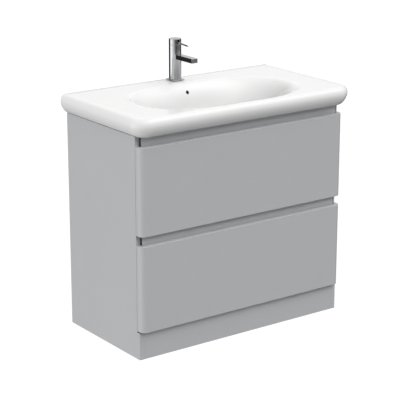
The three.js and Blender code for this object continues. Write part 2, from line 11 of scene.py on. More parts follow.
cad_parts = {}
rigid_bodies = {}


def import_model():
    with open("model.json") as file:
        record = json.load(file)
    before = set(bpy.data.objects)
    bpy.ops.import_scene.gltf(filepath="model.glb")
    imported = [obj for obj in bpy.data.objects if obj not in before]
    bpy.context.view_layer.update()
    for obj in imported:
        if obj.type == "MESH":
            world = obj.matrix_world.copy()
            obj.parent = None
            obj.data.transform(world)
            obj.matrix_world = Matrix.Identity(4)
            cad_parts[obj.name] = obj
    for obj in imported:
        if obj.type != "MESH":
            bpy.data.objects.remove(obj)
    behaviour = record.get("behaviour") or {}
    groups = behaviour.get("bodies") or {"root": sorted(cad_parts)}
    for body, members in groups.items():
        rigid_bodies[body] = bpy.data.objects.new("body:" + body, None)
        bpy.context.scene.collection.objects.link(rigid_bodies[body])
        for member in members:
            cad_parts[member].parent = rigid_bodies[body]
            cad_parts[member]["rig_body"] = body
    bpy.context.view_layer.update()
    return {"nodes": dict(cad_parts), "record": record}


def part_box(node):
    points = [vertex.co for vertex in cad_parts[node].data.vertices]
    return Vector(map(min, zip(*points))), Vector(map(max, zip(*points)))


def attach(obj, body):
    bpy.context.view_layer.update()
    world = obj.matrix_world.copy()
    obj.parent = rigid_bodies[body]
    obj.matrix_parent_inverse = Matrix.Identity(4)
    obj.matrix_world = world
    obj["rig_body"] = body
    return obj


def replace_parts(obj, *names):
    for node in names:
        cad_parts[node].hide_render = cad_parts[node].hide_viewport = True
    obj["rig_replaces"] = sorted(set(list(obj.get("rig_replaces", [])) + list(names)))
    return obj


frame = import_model()

MM = 0.001
SIDES = (("left", -1), ("right", 1))

# ---- places read from the frame -----------------------------------------------------------------
basin_low, basin_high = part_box("basin")
panel_low, panel_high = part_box("side_panel_right")
flange_low, flange_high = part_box("waste_body")
cap_low, cap_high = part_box("waste_plug")
tap_low, tap_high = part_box("tap_body")
head_low, head_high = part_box("tap_head")

BASIN_TOP = basin_high.z
BASIN_HALF = basin_high.x
BASIN_FRONT = basin_low.y
WALL = basin_high.y
CABINET_TOP = panel_high.z + 0.3 * MM
INNER = panel_low.x
WASTE = Vector(((flange_low.x + flange_high.x) / 2, (flange_low.y + flange_high.y) / 2))
TAP = Vector(((tap_low.x + tap_high.x) / 2, (tap_low.y + tap_high.y) / 2))
TAP_RADIUS = (tap_high.x - tap_low.x) / 2
rail_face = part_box("front_rail_upper")[0].y

# ---- driving dimensions of the looks ------------------------------------------------------------
RIM_ROLL = 27 * MM  # height of the rounding from the basin's widest line up to its top
ROLL_WIDTH = 20 * MM  # how far that rounding draws in
RIM_TUCK = 30 * MM  # how far the rim draws in from the widest line down to the cabinet
TUCK_FULLNESS = 1.6  # of that curve: 2 is a round quarter, 1 is a straight slope
RIM_CORNER = 60 * MM  # plan radius at the widest line
BOWL_CENTRE = Vector((0.0, -33.5 * MM))
BOWL_HALF = (330 * MM, 194 * MM)
BOWL_SQUARENESS = 2.7
BOWL_LIP = 14 * MM  # how far outside that outline the deck begins to fall
LIP_LEVEL = (0.07, 0.42, 0.40)  # share of the bowl's side that leaves the deck level: front, back, ends
FOOT_LEVEL = (0.62, 0.45, 0.50)  # share that arrives level at the bowl's floor, in the same order
BOWL_PAINTED_SHADE = 0.28  # how much darker the glaze's colour is painted inside the bowl, as painted shade
FLOOR_CENTRE = Vector((0.0, 8 * MM))
FLOOR_HALF = (235 * MM, 60 * MM)
FLOOR_SQUARENESS = 2.2
FLOOR_FALL = 2.5 * MM  # from the edge of the bowl's floor down to the waste
CERAMIC = 12 * MM
DECK = 14 * MM
OVERFLOW_DIAMETER = 13 * MM
OVERFLOW_DROP = 33 * MM  # from the deck down to the overflow's centre
OVERFLOW_DEPTH = 20 * MM
WASTE_HOLE = 46 * MM
TAP_HOLE = 35 * MM
CAVITY_FRONT = rail_face + 20 * MM  # the hollow under the basin
CAVITY_BACK = WALL - 18 * MM
BOWL_FLOOR = flange_high.z - 2.8 * MM

CAMERA_LENS = 135.0
CAMERA_AZIMUTH = math.radians(-35.85)
CAMERA_ELEVATION = math.radians(16.57)
CAMERA_PLACE = Vector((-3.152, -4.305, 2.050))


# ---- materials ----------------------------------------------------------------------------------
class Surface:
    """A Principled material whose colour, roughness and relief vary by procedural noise."""

    def __init__(self, name, colour, roughness, metallic=0.0, **sockets):
        self.material = bpy.data.materials.new(name)
        self.material.use_nodes = True
        self.nodes = self.material.node_tree.nodes
        self.links = self.material.node_tree.links
        self.shader = self.nodes["Principled BSDF"]
        self.place = self.nodes.new("ShaderNodeTexCoord").outputs["Object"]
        self.colour = colour
        self.roughness = roughness
        self.set("Base Color", (*colour, 1.0))
        self.set("Roughness", roughness)
        self.set("Metallic", metallic)
        for socket, value in sockets.items():
            self.set(socket.replace("_", " "), value)
        self.relief = None

    def set(self, socket, value):
        self.shader.inputs[socket].default_value = value

    def stretched(self, stretch):
        mapping = self.nodes.new("ShaderNodeMapping")
        mapping.inputs["Scale"].default_value = stretch
        self.links.new(self.place, mapping.inputs["Vector"])
        return mapping.outputs["Vector"]

    def noise(self, scale, detail=3.0, stretch=(1, 1, 1)):
        noise = self.nodes.new("ShaderNodeTexNoise")
        noise.inputs["Scale"].default_value = scale
        noise.inputs["Detail"].default_value = detail
        self.links.new(self.stretched(stretch), noise.inputs["Vector"])
        return noise.outputs["Fac"]

    def cells(self, scale, stretch=(1, 1, 1)):
        cells = self.nodes.new("ShaderNodeTexVoronoi")
        cells.inputs["Scale"].default_value = scale
        self.links.new(self.stretched(stretch), cells.inputs["Vector"])
        return cells.outputs["Color"]

    def mapped(self, value, low, high):
        spread = self.nodes.new("ShaderNodeMapRange")
        spread.inputs["From Min"].default_value = 0.3
        spread.inputs["From Max"].default_value = 0.7
        spread.inputs["To Min"].default_value = low
        spread.inputs["To Max"].default_value = high
        self.links.new(value, spread.inputs["Value"])
        return spread.outputs["Result"]

    def vary_colour(self, value, amount, tint=(1, 1, 1)):
        """The colour runs from a little darker to a little lighter, towards the tint."""
        mix = self.nodes.new("ShaderNodeMix")
        mix.data_type = "RGBA"
        dark = [c * (1 - amount) for c in self.colour]
        light = [c * (1 + amount * t) for c, t in zip(self.colour, tint)]
        mix.inputs["A"].default_value = (*dark, 1.0)
        mix.inputs["B"].default_value = (*light, 1.0)
        self.links.new(self.mapped(value, 0.0, 1.0), mix.inputs["Factor"])
        self.links.new(mix.outputs["Result"], self.shader.inputs["Base Color"])
        return self

    def vary_roughness(self, value, amount):
        spread = self.mapped(value, self.roughness - amount, self.roughness + amount)
        self.links.new(spread, self.shader.inputs["Roughness"])
        return self

    def raise_relief(self, value, height, strength=1.0):
        bump = self.nodes.new("ShaderNodeBump")
        bump.inputs["Distance"].default_value = height
        bump.inputs["Strength"].default_value = strength
        self.links.new(value, bump.inputs["Height"])
        if self.relief is not None:
            self.links.new(self.relief, bump.inputs["Normal"])
        self.relief = bump.outputs["Normal"]
        self.links.new(self.relief, self.shader.inputs["Normal"])
        return self


def make_grey_foil():
    """Satin light grey foil: a fine orange peel, and broad, faint changes of sheen."""
    made = Surface("grey_foil", (0.484, 0.491, 0.504), 0.42, Coat_Weight=0.12, Coat_Roughness=0.32)
    made.vary_colour(made.noise(6.0), 0.008)
    made.vary_roughness(made.noise(14.0, 4.0), 0.04)
    made.raise_relief(made.noise(900.0, 2.0), 0.03 * MM, 0.5)
    return made.material


def make_grey_board():
    """Matt grey melamine face with a short, pressed linen grain."""
    made = Surface("grey_board", (0.45, 0.455, 0.465), 0.58)
    made.vary_colour(made.noise(500.0, 3.0, (1, 1, 0.12)), 0.03)
    made.vary_roughness(made.noise(40.0), 0.05)
    made.raise_relief(made.noise(1100.0, 2.0, (1, 1, 0.15)), 0.05 * MM, 0.6)
    return made.material


def make_edge_tape_and_shade():
    """The glossier plastic tape on the boards' narrow edges. Its colour is darker than the boards partly
    as painted shade, standing in for the shade on edges inside the recesses.
    """
    made = Surface("edge_tape", (0.36, 0.365, 0.375), 0.38)
    made.vary_colour(made.noise(90.0), 0.015)
    made.raise_relief(made.noise(300.0), 0.04 * MM, 0.4)
    return made.material


def make_painted_rail():
    made = Surface("painted_rail", (0.484, 0.491, 0.504), 0.38, Coat_Weight=0.15, Coat_Roughness=0.3)
    made.vary_colour(made.noise(7.0), 0.008)
    made.vary_roughness(made.noise(30.0), 0.04)
    made.raise_relief(made.noise(700.0, 2.0, (0.1, 1, 1)), 0.03 * MM, 0.5)
    return made.material


def make_dark_plastic():
    # Near-black plastic. On the handle rails' end caps and in the overflow hole its darkness also stands
    # in for the shade there (painted shade).
    made = Surface("dark_plastic", (0.05, 0.05, 0.053), 0.55)
    made.vary_colour(made.noise(60.0), 0.12)
    made.raise_relief(made.cells(1500.0), 0.06 * MM, 0.5)
    return made.material


def make_white_plastic():
    made = Surface("white_plastic", (0.78, 0.78, 0.76), 0.42, Subsurface_Weight=0.1)
    made.vary_colour(made.noise(80.0), 0.03)
    made.raise_relief(made.noise(600.0), 0.03 * MM, 0.4)
    return made.material


def make_zinc_steel():
    """Bright zinc plate over rolled steel: faint cells of plate and long rolling lines."""
    made = Surface("zinc_steel", (0.60, 0.62, 0.64), 0.34, 1.0)
    made.vary_colour(made.cells(220.0), 0.10, (1.0, 1.02, 1.06))
    made.vary_roughness(made.noise(160.0, 4.0, (1, 0.05, 1)), 0.09)
    made.raise_relief(made.noise(900.0, 2.0, (1, 0.03, 1)), 0.02 * MM, 0.5)
    return made.material


def make_brass():
    """Machined brass with fine turning lines."""
    made = Surface("brass", (0.72, 0.53, 0.24), 0.28, 1.0)
    made.vary_colour(made.noise(120.0), 0.12, (1.0, 0.95, 0.8))
    made.vary_roughness(made.noise(200.0, 3.0, (1, 1, 12)), 0.08)
    made.raise_relief(made.noise(300.0, 1.0, (0.1, 0.1, 10)), 0.03 * MM, 0.6)
    return made.material


def make_chrome():
    """Polished chrome with the faintest haze of water marks."""
    made = Surface("chrome", (0.47, 0.475, 0.485), 0.06, 1.0)
    made.vary_colour(made.noise(45.0, 5.0), 0.02)
    made.vary_roughness(made.noise(130.0, 5.0), 0.03)
    return made.material


def make_rubber():
    made = Surface("rubber", (0.028, 0.028, 0.03), 0.72)
    made.vary_colour(made.noise(150.0), 0.15)
    made.raise_relief(made.noise(1300.0), 0.05 * MM, 0.5)
    return made.material


def make_glazed_ceramic():
    """White glaze: glossy, with a long slow ripple. Inside the bowl its colour is painted darker, fading
    out towards the rim: painted shade."""
    made = Surface("glazed_ceramic", (0.83, 0.83, 0.827), 0.16, Coat_Weight=0.12, Coat_Roughness=0.08)
    made.set("Specular IOR Level", 0.4)
    # Painted shade: inside the bowl the base colour is darkened, fading out towards the rim.
    painted_shade_place = made.nodes.new("ShaderNodeMapping")
    painted_shade_place.vector_type = "TEXTURE"
    painted_shade_place.inputs["Location"].default_value = (*BOWL_CENTRE, 0.0)
    painted_shade_place.inputs["Scale"].default_value = (*BOWL_HALF, 1e6)
    made.links.new(made.place, painted_shade_place.inputs["Vector"])
    distance = made.nodes.new("ShaderNodeVectorMath")
    distance.operation = "LENGTH"
    made.links.new(painted_shade_place.outputs["Vector"], distance.inputs[0])
    fade = made.nodes.new("ShaderNodeMapRange")
    fade.interpolation_type = "SMOOTHSTEP"
    fade.inputs["From Min"].default_value = 0.75
    fade.inputs["From Max"].default_value = 1.02
    made.links.new(distance.outputs["Value"], fade.inputs["Value"])
    mix = made.nodes.new("ShaderNodeMix")
    mix.data_type = "RGBA"
    mix.inputs["A"].default_value = (*[c * (1 - BOWL_PAINTED_SHADE) for c in made.colour], 1.0)
    mix.inputs["B"].default_value = (*made.colour, 1.0)
    made.links.new(fade.outputs["Result"], mix.inputs["Factor"])
    made.links.new(mix.outputs["Result"], made.shader.inputs["Base Color"])
    made.vary_roughness(made.noise(25.0, 3.0), 0.03)
    made.raise_relief(made.noise(11.0, 1.0), 0.05 * MM, 0.15)
    return made.material


MATERIALS = {
    "grey_foil": make_grey_foil(),
    "grey_board": make_grey_board(),
    "edge_tape": make_edge_tape_and_shade(),
    "painted_rail": make_painted_rail(),
    "dark_plastic": make_dark_plastic(),
    "white_plastic": make_white_plastic(),
    "zinc_steel": make_zinc_steel(),
    "brass": make_brass(),
    "chrome": make_chrome(),
    "rubber": make_rubber(),
    "glazed_ceramic": make_glazed_ceramic(),
}
SLOT_OF_NODE = {p["node"]: p["material_slot"] for p in frame["record"]["subparts"]}


# ---- mesh helpers -------------------------------------------------------------------------------
SMOOTH_BELOW = math.radians(32)


def shade(piece, even=True):
    """Smooth except across sharp edges. Even shading keeps flat faces flat up to their soft edges."""
    piece.data.shade_smooth()
    piece.data.set_sharp_from_angle(angle=SMOOTH_BELOW)
    if even:
        weighted = piece.modifiers.new("even_shading", "WEIGHTED_NORMAL")
        weighted.keep_sharp = True
        weighted.weight = 100
    return piece


def object_from(bm, name, even=True):
    """A linked object from a bmesh, with its faces turned out."""
    bmesh.ops.recalc_face_normals(bm, faces=bm.faces)
    mesh = bpy.data.meshes.new(name)
    bm.to_mesh(mesh)
    bm.free()
    made = bpy.data.objects.new(name, mesh)
    bpy.context.scene.collection.objects.link(made)
    return shade(made, even)


def bevel_sharp(bm, width, segments=2, above=SMOOTH_BELOW, keep=lambda edge: True):
    sharp = [
        e for e in bm.edges
        if len(e.link_faces) == 2 and e.calc_face_angle() > above and keep(e)
    ]
    bmesh.ops.bevel(
        bm, geom=sharp, offset=width, offset_type="OFFSET", segments=segments,
        profile=0.5, affect="EDGES", clamp_overlap=True,
    )


def settle(piece, body, slot, *nodes, material=None):
    """Gives a piece the material of its slot, its body and the CAD nodes that it stands for."""
    piece.data.materials.append(MATERIALS[material or slot])
    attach(piece, body)
    if nodes:
        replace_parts(piece, *nodes)
    return piece


def body_of(node):
    return frame["nodes"][node]["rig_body"]


def combine(piece, operation, *others, even=True):
    """Cuts other solids out of a piece, or joins them to it, and removes them."""
    piece.modifiers.clear()
    for other in others:
        modifier = piece.modifiers.new("combine", "BOOLEAN")
        modifier.operation = operation
        modifier.solver = "EXACT"
        modifier.object = other
    bpy.context.view_layer.update()
    evaluated = piece.evaluated_get(bpy.context.evaluated_depsgraph_get())
    old = piece.data
    piece.data = bpy.data.meshes.new_from_object(evaluated)
    piece.modifiers.clear()
    bpy.data.meshes.remove(old)
    piece.data.name = piece.name
    for other in others:
        bpy.data.objects.remove(other)
    return shade(piece, even)


def rounded_outline(points, radius, steps=5, closed=True):
    """An outline of (a, b) points whose corners are rounded, each as far as its sides allow."""
    corners = [Vector(p) for p in points]
    made = []
    for i, corner in enumerate(corners):
        if not closed and i in (0, len(corners) - 1):
            made.append(corner)
            continue
        into = corner - corners[i - 1]
        out = corners[(i + 1) % len(corners)] - corner
        turn = into.angle(out, 0.0)
        reach = min(radius * math.tan(turn / 2), into.length * 0.49, out.length * 0.49)
        start = corner - into.normalized() * reach
        end = corner + out.normalized() * reach
        for step in range(steps + 1):
            t = step / steps
            made.append(start * (1 - t) ** 2 + corner * (2 * t * (1 - t)) + end * t ** 2)
    return made


def lathe(name, profile, centre, radius=0.4 * MM, segments=96, steps=4):
    """A solid turned round an upright axis: a profile of (radius, z) that starts and ends on the axis
    or closes on itself, with its corners rounded."""
    closed = profile[0][0] > 0
    outline = rounded_outline(profile, radius, steps, closed)
    bm = bmesh.new()
    rings = []
    for r, z in outline:
        turns = [2 * math.pi * i / segments for i in range(segments if r > 0 else 1)]
        rings.append([
            bm.verts.new((centre.x + r * math.cos(t), centre.y + r * math.sin(t), z)) for t in turns
        ])
    pairs = list(zip(rings, rings[1:] + rings[:1]))
    for ring, following in pairs if closed else pairs[:-1]:
        for i in range(segments):
            quad = [ring[i % len(ring)], ring[(i + 1) % len(ring)]]
            quad += [following[(i + 1) % len(following)], following[i % len(following)]]
            bm.faces.new(dict.fromkeys(quad))
    return object_from(bm, name)


def cylinder(name, start, end, radius, segments=48, end_round=0.0):
    """A rod between two points, with its ends rounded by a bevel."""
    way = end - start
    turn = way.to_track_quat("Z", "Y").to_matrix().to_4x4()
    place = Matrix.Translation((start + end) / 2) @ turn
    bm = bmesh.new()
    bmesh.ops.create_cone(
        bm, cap_ends=True, segments=segments, radius1=radius, radius2=radius,
        depth=way.length, matrix=place,
    )
    if end_round:
        bevel_sharp(bm, end_round, 4)
    return object_from(bm, name)


def block(name, low, high, width, segments=3):
    """A box with rounded edges."""
    low, high = Vector(low), Vector(high)
    bm = bmesh.new()
    bmesh.ops.create_cube(
        bm, size=1.0,
        matrix=Matrix.Translation((low + high) / 2) @ Matrix.Diagonal((*(high - low), 1.0)),
    )
    if width:
        bevel_sharp(bm, width, segments)
    return object_from(bm, name)


def refined(node, slot, width=0.5 * MM, segments=2, material=None, tape=False):
    """A CAD piece with its flat faces made whole and its edges softened. With tape, the long narrow
    faces of a board take the edge tape's material."""
    bm = bmesh.new()
    bm.from_mesh(frame["nodes"][node].data)
    bmesh.ops.remove_doubles(bm, verts=bm.verts, dist=1e-6)
    bmesh.ops.dissolve_limit(
        bm, angle_limit=math.radians(0.5), verts=bm.verts, edges=bm.edges, use_dissolve_boundaries=False,
    )
    if tape:
        thickness = thinnest(bm)
        narrow = [f for f in bm.faces if min_width(f) < thickness * 1.05]
        for face in narrow:
            face.material_index = 1
    bevel_sharp(bm, width, segments)
    made = object_from(bm, node + "_finished")
    settle(made, body_of(node), slot, node, material=material)
    if tape:
        made.data.materials.append(MATERIALS["edge_tape"])
    return made


def min_width(face):
    sizes = [max(v.co[i] for v in face.verts) - min(v.co[i] for v in face.verts) for i in range(3)]
    return sorted(sizes)[1]


def thinnest(bm):
    sizes = [max(v.co[i] for v in bm.verts) - min(v.co[i] for v in bm.verts) for i in range(3)]
    return min(sizes)


# ---- basin --------------------------------------------------------------------------------------
SIDE_STEPS = 28
ARC_STEPS = 14
FRONT_STEPS = 84
BACK_STEPS = 72
ROLL_STEPS = 12
TUCK_STEPS = 16
DECK_STEPS = 4
SLOPE_STEPS = 34
LIP_CROWDING = 1.25  # over 1, the slope's steps lie closer together near the lip
LEAST_DECK = 1.5 * MM  # flat that is left between the roll and the bowl in front
FLOOR_STEPS = 6
UNDER_STEPS = 26


def between(a, b, steps):
    """The points from a up to, but not with, b."""
    return [a.lerp(b, i / steps) for i in range(steps)]


def arc(centre, radius, start, end, steps):
    turns = [start + (end - start) * i / steps for i in range(steps)]
    return [centre + radius * Vector((math.cos(t), math.sin(t))) for t in turns]


def plan(half, front, back, corner):
    """A plan anticlockwise from its back left corner, square at the back and rounded at the front."""
    left, right = Vector((-half + corner, front + corner)), Vector((half - corner, front + corner))
    return [
        *between(Vector((-half, back)), Vector((-half, left.y)), SIDE_STEPS),
        *arc(left, corner, math.pi, 1.5 * math.pi, ARC_STEPS),
        *between(Vector((left.x, front)), Vector((right.x, front)), FRONT_STEPS),
        *arc(right, corner, 1.5 * math.pi, 2 * math.pi, ARC_STEPS),
        *between(Vector((half, right.y)), Vector((half, back)), SIDE_STEPS),
        *between(Vector((half, back)), Vector((-half, back)), BACK_STEPS),
    ]


def rim_plan(inset):
    return plan(BASIN_HALF - inset, BASIN_FRONT + inset, WALL, RIM_CORNER - inset)


def superellipse(centre, half, squareness, turns):
    made = []
    for t in turns:
        c, s = math.cos(t), math.sin(t)
        r = (abs(c / half[0]) ** squareness + abs(s / half[1]) ** squareness) ** (-1 / squareness)
        made.append(centre + r * Vector((c, s)))
    return made


def bezier(a, b, c, d, t):
    s = 1 - t
    return a * s ** 3 + b * (3 * s * s * t) + c * (3 * s * t * t) + d * t ** 3


def bowl_profile(turn, lip, run, drop):
    """The bowl's side along one spoke, as (distance in from the rim, z above the rim): an S that
    leaves the deck level, slowly behind and at the ends and quickly in front, and ends level."""
    forward = math.sin(turn) ** 2 if math.sin(turn) < 0 else 0.0
    backward = math.sin(turn) ** 2 if math.sin(turn) > 0 else 0.0
    shares = (forward, backward, 1 - forward - backward)
    leave = sum(level * share for level, share in zip(LIP_LEVEL, shares))
    arrive = sum(level * share for level, share in zip(FOOT_LEVEL, shares))
    whole = lip + run
    points = [
        Vector((-lip, 0.0)),
        Vector((leave * whole - lip, 0.0)),
        Vector((run - arrive * whole, -drop)),
        Vector((run, -drop)),
    ]
    return [bezier(*points, (i / SLOPE_STEPS) ** LIP_CROWDING) for i in range(SLOPE_STEPS + 1)]


def height_at(profile, distance):
    """The height of a profile of (distance, z) with rising distances."""
    for (d0, z0), (d1, z1) in zip(profile, profile[1:]):
        if distance <= d1:
            share = (distance - d0) / max(d1 - d0, 1e-9)
            return z0 + (z1 - z0) * max(0.0, share)
    return profile[-1][1]


def basin_rings():
    """Closed rings of the basin's skin, each a list of points: from the waste hole under the bowl,
    out along the underside, over the rim and the deck, and down into the bowl."""
    deck_edge = rim_plan(ROLL_WIDTH)
    turns = [math.atan2(p.y - BOWL_CENTRE.y, p.x - BOWL_CENTRE.x) for p in deck_edge]
    mouth = superellipse(BOWL_CENTRE, BOWL_HALF, BOWL_SQUARENESS, turns)
    floor = superellipse(FLOOR_CENTRE, FLOOR_HALF, FLOOR_SQUARENESS, turns)
    flat = superellipse(WASTE, (36 * MM, 36 * MM), 2.0, turns)
    hole = superellipse(WASTE, (WASTE_HOLE / 2, WASTE_HOLE / 2), 2.0, turns)
    floor_z = BOWL_FLOOR + FLOOR_FALL
    drop = BASIN_TOP - floor_z

    spokes = []
    for turn, e, m, f in zip(turns, deck_edge, mouth, floor):
        way = f - m
        lip = min(BOWL_LIP, (m - e).length - LEAST_DECK)
        profile = bowl_profile(turn, lip, way.length, drop)
        spokes.append([(m + way.normalized() * d, BASIN_TOP + z) for d, z in profile])
    bowl = [[Vector((*spoke[k][0], spoke[k][1])) for spoke in spokes] for k in range(len(spokes[0]))]
    bowl_floor = []
    for k in range(1, FLOOR_STEPS + 1):
        t = k / FLOOR_STEPS
        z = BOWL_FLOOR + FLOOR_FALL * (1 - t) ** 2 * (1 + 2 * t)
        bowl_floor.append([Vector((*f.lerp(w, t), z)) for f, w in zip(floor, flat)])
    bowl_floor.append([Vector((*p, BOWL_FLOOR)) for p in hole])

    underside = []
    cavity = plan(INNER, CAVITY_FRONT, CAVITY_BACK, 8 * MM)
    profiles = []
    for i, h in enumerate(hole):
        inward = [ring[i] for ring in bowl_floor[::-1]] + [ring[i] for ring in bowl[::-1]]
        profiles.append([((p.to_2d() - h).length, p.z) for p in inward])
    for k in range(UNDER_STEPS + 1):
        t = k / UNDER_STEPS
        ring = []
        for h, c, profile in zip(hole, cavity, profiles):
            p = h.lerp(c, t)
            z = height_at(profile, (p - h).length - CERAMIC) - CERAMIC
            ring.append(Vector((*p, min(z, BASIN_TOP - DECK))))
        underside.append(ring)

    def level(points, z):
        return [Vector((*p, z)) for p in points]

    rim = [level(cavity, CABINET_TOP)]
    widest = BASIN_TOP - RIM_ROLL
    for k in range(TUCK_STEPS):
        t = k / TUCK_STEPS * math.pi / 2
        inset = RIM_TUCK * (1 - math.sin(t) ** (2 / TUCK_FULLNESS))
        fall = (widest - CABINET_TOP) * math.cos(t) ** (2 / TUCK_FULLNESS)
        rim.append(level(rim_plan(inset), widest - fall))
    for k in range(ROLL_STEPS + 1):
        t = k / ROLL_STEPS * math.pi / 2
        rim.append(level(rim_plan(ROLL_WIDTH * (1 - math.cos(t))), widest + RIM_ROLL * math.sin(t)))
    deck = []
    for k in range(1, DECK_STEPS):
        t = k / DECK_STEPS
        deck.append([Vector((*e.lerp(b.to_2d(), t), BASIN_TOP)) for e, b in zip(deck_edge, bowl[0])])
    return underside + rim + deck + bowl + bowl_floor


def make_basin():
    bm = bmesh.new()
    rings = [[bm.verts.new(p) for p in ring] for ring in basin_rings()]
    count = len(rings[0])
    for ring, following in zip(rings, rings[1:] + rings[:1]):
        for i in range(count):
            j = (i + 1) % count
            bm.faces.new((ring[i], ring[j], following[j], following[i]))
    bmesh.ops.recalc_face_normals(bm, faces=bm.faces)
    at_wall = lambda e: all(v.co.y > WALL - 1e-6 for v in e.verts) and e.verts[0].co.z > CABINET_TOP
    bevel_sharp(bm, 1.5 * MM, 3, math.radians(50), at_wall)
    basin = object_from(bm, "basin_glazed", even=False)
    overflow_z = BASIN_TOP - OVERFLOW_DROP
    back = BOWL_CENTRE.y + BOWL_HALF[1]
    in_front, behind = 30 * MM, 34 * MM
    overflow = cylinder(
        "overflow", Vector((0, back - in_front, overflow_z)), Vector((0, back + behind, overflow_z)),
        OVERFLOW_DIAMETER / 2,
    )
    tap_hole = cylinder(
        "tap_hole", Vector((*TAP, BASIN_TOP - 3 * DECK)), Vector((*TAP, BASIN_TOP + DECK)), TAP_HOLE / 2,
    )
    combine(basin, "DIFFERENCE", overflow, tap_hole, even=False)
    settle(basin, "cabinet", "glazed_ceramic", "basin")
    # Painted shade: a near-black cup lines the overflow hole so that it looks dark.
    make_overflow_shade_cup(back, overflow_z)


def make_overflow_shade_cup(back, height):
    """A dark cup in the overflow hole that stands in for the shade inside it (painted shade), cut off
    along the slope of the bowl.
    """
    run = back - FLOOR_CENTRE.y - FLOOR_HALF[1]
    profile = bowl_profile(math.pi / 2, BOWL_LIP, run, BASIN_TOP - BOWL_FLOOR - FLOOR_FALL)
    above, below = next(pair for pair in zip(profile, profile[1:]) if pair[1].y <= -OVERFLOW_DROP)
    slope = (below.x - above.x) / (above.y - below.y)
    clearance, wall, sunk = 0.05 * MM, 0.9 * MM, 1.2 * MM
    outer = OVERFLOW_DIAMETER / 2 - clearance
    inner = outer - wall
    closed_end = OVERFLOW_DEPTH + 2 * MM
    shade_cup = lathe("overflow_shade_cup", [
        (0, OVERFLOW_DEPTH), (inner, OVERFLOW_DEPTH), (inner, 0), (outer, 0), (outer, closed_end),
        (0, closed_end),
    ], Vector((0, 0)), 0.2 * MM, 48)
    start = back - below.x + sunk
    shade_cup.data.transform(Matrix((
        (1, 0, 0, 0), (0, -slope, 1, start), (0, -1, 0, height), (0, 0, 0, 1),
    )))
    settle(shade_cup, "cabinet", "dark_plastic")


# ---- drawers ------------------------------------------------------------------------------------
FRONT_CORNER = 23 * MM
FRONT_EDGE = 1.6 * MM  # softening of the front's edges
RETURN_THICKNESS = 15 * MM
RETURN_REACH = 1.2 * MM  # how much nearer to the side panel the return ends than its plain solid


def prism(name, outline, low, high, width, segments=3):
    """An outline of (x, y) points drawn up from low to high, with its sharp edges rounded."""
    bm = bmesh.new()
    face = bm.faces.new([bm.verts.new((*p, low)) for p in outline])
    drawn = bmesh.ops.extrude_face_region(bm, geom=[face])["geom"]
    top = [v for v in drawn if isinstance(v, bmesh.types.BMVert)]
    bmesh.ops.translate(bm, vec=(0, 0, high - low), verts=top)
    bmesh.ops.recalc_face_normals(bm, faces=bm.faces)
    bevel_sharp(bm, width, segments)
    return object_from(bm, name)


def make_drawer_front(drawer):
    """A foil-wrapped front: flat, with rounded upright corners and short returns to the sides."""
    node = drawer + "_drawer_front"
    low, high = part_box(node)
    board_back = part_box(drawer + "_drawer_side_left")[0].y - 0.3 * MM
    centre = Vector((high.x - FRONT_CORNER, low.y + FRONT_CORNER))
    inside = high.x - RETURN_THICKNESS
    back = high.y + RETURN_REACH
    right = [
        *arc(centre, FRONT_CORNER, -math.pi / 2, 0.0, 20),
        Vector((high.x, centre.y)),
        Vector((high.x, back)),
        Vector((inside, back)),
        Vector((inside, board_back)),
    ]
    left = [Vector((-p.x, p.y)) for p in reversed(right)]
    front = prism(node + "_wrapped", right + left, low.z, high.z, FRONT_EDGE, 4)
    return settle(front, drawer + "_drawer", "grey_foil", node)


# ---- waste --------------------------------------------------------------------------------------
def make_waste():
    tail, bore = 21 * MM, 17 * MM
    flange = (flange_high.x - flange_low.x) / 2
    top, seat = flange_high.z, flange_high.z - 2.5 * MM
    dished = top - 1.3 * MM
    body = lathe("waste_body_turned", [
        (bore, flange_low.z), (tail, flange_low.z), (tail, seat), (flange, seat), (flange, top - 0.6 * MM),
        (flange - 1.6 * MM, top), (flange - 3 * MM, top - 0.3 * MM), (flange - 4.5 * MM, dished),
        (bore, dished),
    ], WASTE, 0.5 * MM)
    settle(body, "cabinet", "chrome", "waste_body")

    cap = (cap_high.x - cap_low.x) / 2
    under = cap_high.z - 5 * MM
    stem = 5 * MM
    plug = lathe("waste_plug_turned", [
        (0, cap_low.z), (stem, cap_low.z), (stem, under), (cap, under), (cap, under + 2 * MM),
        (cap - 4 * MM, under + 3.1 * MM), (cap - 11 * MM, under + 4.2 * MM),
        (cap - 19 * MM, under + 4.8 * MM), (0, cap_high.z),
    ], WASTE, 0.9 * MM)
    settle(plug, "waste_plug", "chrome", "waste_plug")

    low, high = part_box("waste_seal")
    radius = (high.x - low.x) / 2
    hole = tail + 0.3 * MM
    seal = lathe("waste_seal_moulded", [
        (hole, low.z), (radius, low.z), (radius, high.z), (hole, high.z),
    ], WASTE, 1.2 * MM)
    settle(seal, "cabinet", "rubber", "waste_seal")


# ---- tap ----------------------------------------------------------------------------------------
LEVER_PIN = 3.25 * MM  # radius


def make_tap():
    body = lathe("tap_body_turned", [
        (0, tap_low.z), (TAP_RADIUS, tap_low.z), (TAP_RADIUS, tap_high.z), (0, tap_high.z),
    ], TAP, 0.5 * MM, 128)
    settle(body, "cabinet", "chrome", "tap_body")

    head = make_tap_head()
    settle(head, "tap_head", "chrome", "tap_head")

    plate_low, plate_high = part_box("tap_base_plate")
    plate = block("tap_base_plate_polished", plate_low, plate_high, 0.6 * MM)
    settle(plate, "cabinet", "chrome", "tap_base_plate")

    seal_low, seal_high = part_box("tap_base_seal")
    hole = TAP_RADIUS - 4 * MM
    seal = lathe("tap_base_seal_moulded", [
        (hole, seal_low.z), (TAP_RADIUS, seal_low.z), (TAP_RADIUS, seal_high.z), (hole, seal_high.z),
    ], TAP, 0.3 * MM)
    settle(seal, "cabinet", "rubber", "tap_base_seal")
    make_spout()
    make_lever()


